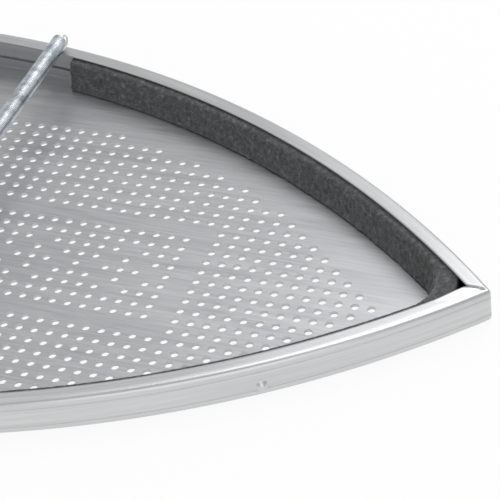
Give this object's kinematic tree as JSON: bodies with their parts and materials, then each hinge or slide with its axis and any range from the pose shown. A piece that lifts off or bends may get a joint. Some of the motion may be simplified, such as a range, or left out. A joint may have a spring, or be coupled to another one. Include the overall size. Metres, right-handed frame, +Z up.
{
  "type": "iron shoe cover",
  "caption": "Pointed tray-shaped shoe that slips on under a hand iron: perforated aluminium plate in a rolled rim, felt lining, low-friction sole sheet and a tension spring across the rear.",
  "frame": {"origin": "middle of the tray's box, on the surface that the sole sheet glides on", "axes": "+X to the pointed tip, +Y to the far side, +Z up into the open tray"},
  "size_m": [0.2156, 0.164, 0.016],
  "materials": {
    "rolled_aluminium": "brushed along the strip",
    "brushed_aluminium": "fine brushed, satin",
    "ptfe": "smooth, waxy",
    "grey_felt": "needled felt",
    "zinc_spring_steel": "bright zinc-plated wire"
  },
  "bodies": {
    "root": {"rim": "rolled_aluminium", "base_plate": "brushed_aluminium", "sole_sheet": "ptfe", "felt_strip": "grey_felt", "spring": "zinc_spring_steel"}
  },
  "joints": []
}
